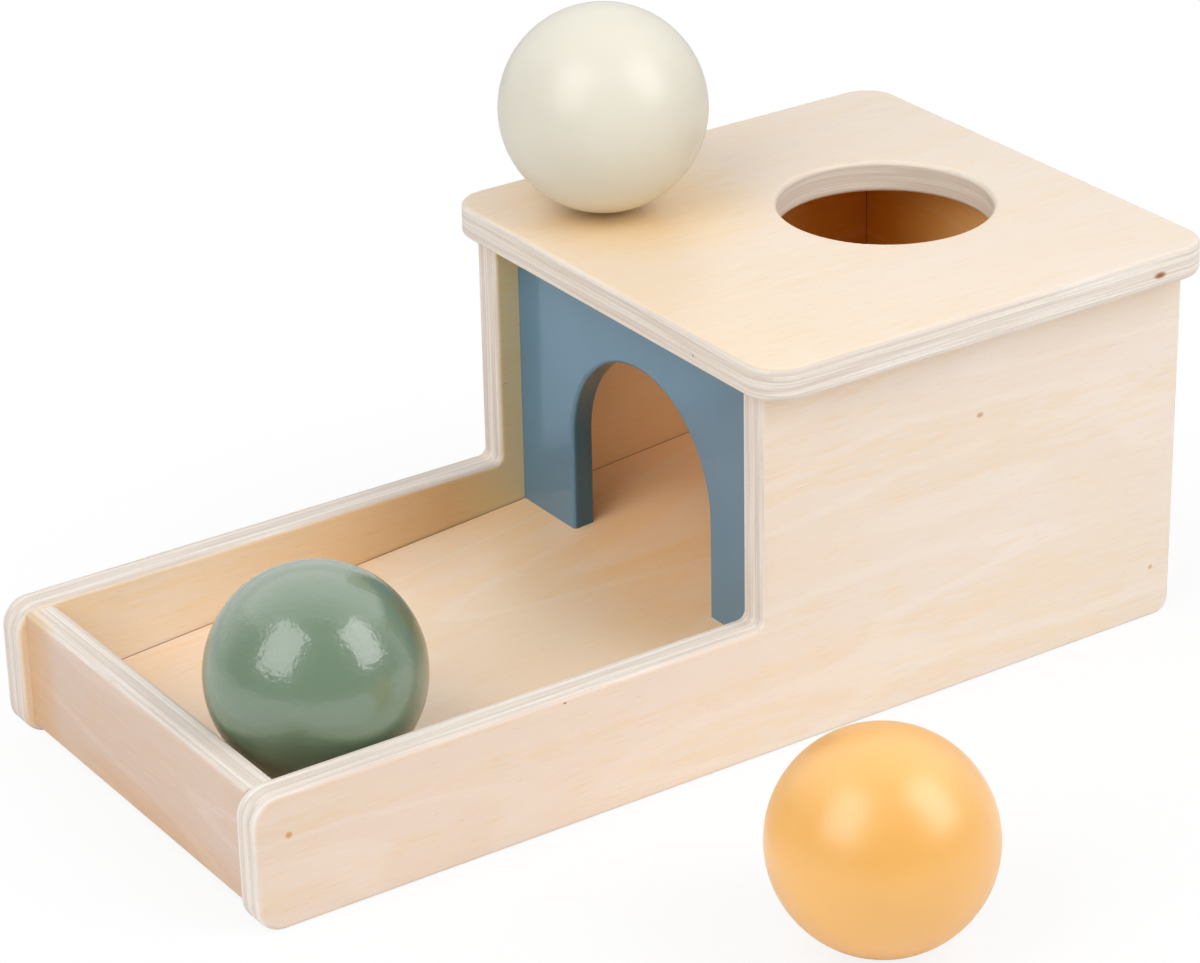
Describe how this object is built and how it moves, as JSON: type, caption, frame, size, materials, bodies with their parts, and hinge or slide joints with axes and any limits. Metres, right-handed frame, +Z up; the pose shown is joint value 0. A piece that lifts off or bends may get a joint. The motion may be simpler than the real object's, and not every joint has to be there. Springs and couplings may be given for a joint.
{
  "type": "object permanence box",
  "caption": "Wooden baby toy: a ball dropped through the round hole in the lid rolls down an inclined floor and out of an arched doorway into an open tray, with loose balls.",
  "frame": {"origin": "on the table, under the middle of the bounding box of the box and its loose balls", "axes": "+X along the box from the tray end to its back, +Z up, near side towards -Y"},
  "size_m": [0.259, 0.227, 0.1493],
  "materials": {
    "birch_ply": "pale birch plywood, sanded, clear satin lacquer",
    "blue_paint": "blue-grey satin paint on plywood",
    "cream_lacquer": "cream gloss lacquer on turned wood",
    "green_lacquer": "sage green gloss lacquer on turned wood",
    "yellow_lacquer": "soft orange-yellow gloss lacquer on turned wood",
    "beech_dowel": "plain beech dowel, glued in"
  },
  "bodies": {
    "box": {"near_side_panel": "birch_ply", "far_side_panel": "birch_ply", "end_rail": "birch_ply", "ramp_floor": "birch_ply", "back_panel": "birch_ply", "arch_panel": "blue_paint", "lid": "birch_ply", "rail_dowels_near": "beech_dowel", "rail_dowels_far": "beech_dowel", "floor_dowels_near": "beech_dowel", "floor_dowels_far": "beech_dowel", "back_dowels_near": "beech_dowel", "back_dowels_far": "beech_dowel", "arch_dowels_near": "beech_dowel", "arch_dowels_far": "beech_dowel", "lid_dowels_near": "beech_dowel", "lid_dowels_far": "beech_dowel"},
    "cream_ball": {"cream_ball": "cream_lacquer"},
    "green_ball": {"green_ball": "green_lacquer"},
    "yellow_ball": {"yellow_ball": "yellow_lacquer"}
  },
  "joints": [
    {"name": "cream_ball_roll", "type": "slide", "parent": "box", "child": "cream_ball", "axis": [0.8273, -0.5618, 0], "range_m": [-0.0325, 0.0395]},
    {"name": "green_ball_roll", "type": "slide", "parent": "box", "child": "green_ball", "axis": [0.9709, 0.2266, 0.0781], "range_m": [0, 0.189]},
    {"name": "yellow_ball_roll", "type": "slide", "parent": "box", "child": "yellow_ball", "axis": [0, 1, 0], "range_m": [-0.1, 0.0533]}
  ]
}
